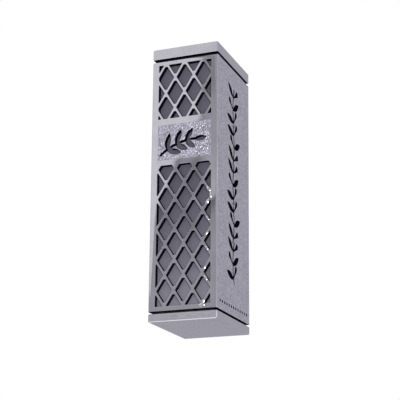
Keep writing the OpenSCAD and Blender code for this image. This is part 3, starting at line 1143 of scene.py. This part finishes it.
def make_world(background, ambient):
    """Even light from all sides, behind a plain background that only the camera sees."""
    world = bpy.data.worlds.new("studio")
    bpy.context.scene.world = world
    world.use_nodes = True
    nodes, links = world.node_tree.nodes, world.node_tree.links
    shade = nodes["Background"]
    shade.inputs["Color"].default_value = (*ambient, 1)
    plain = nodes.new("ShaderNodeBackground")
    plain.inputs["Color"].default_value = (*background, 1)
    path = nodes.new("ShaderNodeLightPath")
    mix = nodes.new("ShaderNodeMixShader")
    links.new(path.outputs["Is Camera Ray"], mix.inputs[0])
    links.new(shade.outputs[0], mix.inputs[1])
    links.new(plain.outputs[0], mix.inputs[2])
    links.new(mix.outputs[0], nodes["World Output"].inputs["Surface"])


def area_light(name, shape, size, energy):
    data = bpy.data.lights.new(name, "AREA")
    data.shape = shape
    data.size, data.size_y = size
    data.energy = energy
    return placed(name, data)


def glint_card(name, eye, spot, normal, away, size, radiance):
    """A small light where a bevel with this normal, seen from the camera, mirrors it."""
    spot, normal = Vector(spot) * MM, Vector(normal).normalized()
    view = (spot - eye).normalized()
    mirrored = view - 2 * view.dot(normal) * normal
    obj = area_light(name, "RECTANGLE", size, radiance * math.pi * size[0] * size[1])
    obj.location = spot + mirrored * away
    obj.rotation_euler = (-mirrored).to_track_quat("-Z", "Y").to_euler()


def make_camera():
    """The camera stands low on the right and looks up at the case; the place it stands at."""
    yaw, pitch, roll = (math.radians(a) for a in (21.64, 16.98, 0.49))
    aside, above, away = -5.65, 7.59, 417.84
    right = Vector((math.cos(yaw), math.sin(yaw), 0))
    ahead = Vector((-math.sin(yaw) * math.cos(pitch), math.cos(yaw) * math.cos(pitch), math.sin(pitch)))
    up = right.cross(ahead)
    right, up = (math.cos(roll) * right + math.sin(roll) * up,
                 -math.sin(roll) * right + math.cos(roll) * up)
    middle = Vector((0, FRONT, 0))
    data = bpy.data.cameras.new("camera")
    data.sensor_width = 36
    data.lens = 108.46
    data.clip_start, data.clip_end = 0.05, 20
    obj = placed("camera", data)
    turn = Matrix((right, up, -ahead)).transposed()
    place = (middle - aside * right - above * up - away * ahead) * MM
    obj.matrix_world = Matrix.Translation(place) @ turn.to_4x4()
    bpy.context.scene.camera = obj
    return place


def mirror_panel(name, eye, away, corners, tones, tint, faces=None):
    """A glowing panel whose mirror image on the front face has the given corners, in x and z.

    Each corner has its own tone, and the tones blend across each face of the panel.
    """
    mirrored = Vector((eye.x, 2 * FRONT * MM - eye.y, eye.z))
    spots = [Vector((x, FRONT, z)) * MM for x, z in corners]
    heart = Vector((-10, FRONT, 20)) * MM
    ahead = (heart - mirrored).normalized()
    points = []
    for spot in spots:
        ray = spot - mirrored
        points.append(mirrored + ray * (((heart - mirrored).length + away) / ray.dot(ahead)))
    s = Shader(name)
    glow = s.nodes.new("ShaderNodeEmission")
    tone_in = s.nodes.new("ShaderNodeVertexColor")
    tone_in.layer_name = "tone"
    s.links.new(tone_in.outputs["Color"], glow.inputs["Color"])
    s.links.new(glow.outputs[0], s.nodes["Material Output"].inputs["Surface"])
    mesh = stage_mesh(name, points, faces or [tuple(range(len(points)))], s.mat)
    colours = mesh.color_attributes.new("tone", "FLOAT_COLOR", "POINT")
    for value, tone in zip(colours.data, tones):
        value.color = (*grey(tone, tint), 1)


# Tones the front mirrors to the right of the softbox and under it: heights down, x across.
SURROUND_X = (-9.0, -5.2, -1.7, 1.7, 5.2, 8.2, 9.8, 24.0)
SURROUND = (
    (7.0, (0.38, 0.38, 0.40, 0.38, 0.20, 0.50, 0.54, 0.54)),
    (1.2, (0.38, 0.38, 0.38, 0.28, 0.19, 0.45, 0.54, 0.54)),
    (-4.2, (0.38, 0.40, 0.34, 0.25, 0.32, 0.40, 0.50, 0.50)),
    (-9.7, (0.36, 0.36, 0.23, 0.35, 0.46, 0.38, 0.14, 0.14)),
    (-12.0, (0.33, 0.30, 0.25, 0.28, 0.38, 0.32, 0.27, 0.27)),
    (-15.1, (0.30, 0.24, 0.28, 0.21, 0.29, 0.36, 0.38, 0.38)),
    (-20.5, (0.35, 0.35, 0.42, 0.31, 0.35, 0.39, 0.41, 0.41)),
    (-26.0, (0.40, 0.40, 0.45, 0.38, 0.44, 0.43, 0.44, 0.44)),
    (-34.0, (0.44,) * 8),
)


def make_panels(eye):
    """A large softbox on the upper left, with dim flags around its inner edge.

    The edge is mirrored in the front beside the upper window and then aslant to the left border.
    The polished front is bright to the left of it and darker, in soft bands, to the right.
    """
    softbox_tone, softbox_tint, ambient = 0.84, (1.0, 0.985, 1.07), (1.0, 0.984, 1.11)
    away, spots_away, surround_away = 1.0, 0.95, 1.02
    edge = [(6.4, 46.5), (6.0, 21.7), (-3.3, 6.6), (-6.6, -4.0), (-24.0, -40.0)]
    outer = [(-250, 60), (-190, 280), (30, 250), (30, 47.5)]
    corners = edge + outer
    mirror_panel("softbox", eye, away, corners, [softbox_tone] * len(corners), softbox_tint)
    shift = [(3.5, 0), (3.5, -1), (2.4, -0.6), (2, -0.6), (2, -0.6)]
    far = [(u + du, v + dv) for (u, v), (du, dv) in zip(edge, shift)]
    near_tones, far_tones = [0.2, 0.24, 0.14, 0.3, 0.34], [0.42, 0.46, 0.38, 0.38, 0.4]
    for k in range(len(edge) - 1):
        corners = [edge[k], edge[k + 1], far[k + 1], far[k]]
        tones = [near_tones[k], near_tones[k + 1], far_tones[k + 1], far_tones[k]]
        mirror_panel(f"flag_{k}", eye, away, corners, tones, ambient)
    spots = {
        "corner_shade": ((9.4, 33.5, 20.0, 46.0), 0.31, 0.34),
        "upper_shade": ((9.8, 25.0, 24.0, 33.5), 0.44, 0.31),
        "stile_glow": ((9.8, -8.5, 24.0, 12.0), 0.6, 0.44),
    }
    for name, (box, low_tone, high_tone) in spots.items():
        tones = [low_tone, low_tone, high_tone, high_tone]
        mirror_panel(name, eye, spots_away, rectangle(*box), tones, ambient)
    wide = len(SURROUND_X)
    places = [(x, z) for z, _ in SURROUND for x in SURROUND_X]
    tones = [tone for _, row in SURROUND for tone in row]
    starts = [r * wide + k for r in range(len(SURROUND) - 1) for k in range(wide - 1)]
    faces = [(n, n + 1, n + wide + 1, n + wide) for n in starts]
    mirror_panel("surround", eye, surround_away, places, tones, ambient, faces)


def make_lamp(name, eye, back, power, glossy):
    """A round lamp beside the camera, so that its shadows fall out of sight."""
    aside, above, width = 0.03, 0.02, 0.2
    obj = area_light(name, "DISK", (width, width), power)
    obj.location = eye + Vector((aside, -back, above))
    obj.rotation_euler = (obj.location - Vector((0, FRONT, 0)) * MM).to_track_quat("Z", "Y").to_euler()
    obj.visible_glossy = glossy


make_floor()
make_world((1, 1, 1), (0.44, 0.433, 0.49))
camera = make_camera()
make_panels(camera)
make_lamp("fill_lamp", camera, 0.06, 0.75, False)
make_lamp("glint_lamp", camera, 0.05, 1.0, True)
glint_card("under_card", camera, (0, FRONT, -2), (0, -1, -1), 0.55, (0.26, 0.3), 0.42)
glint_card("right_card", camera, (HALF_W, FRONT, -67.5), (1, -1, 0), 0.6, (0.16, 0.1), 0.36)
glint_card("bevel_card", camera, (HALF_W, FRONT, 0.8), (1, -1, 0), 0.6, (0.16, 0.02), 0.3)
bpy.context.scene.view_settings.view_transform = "Standard"
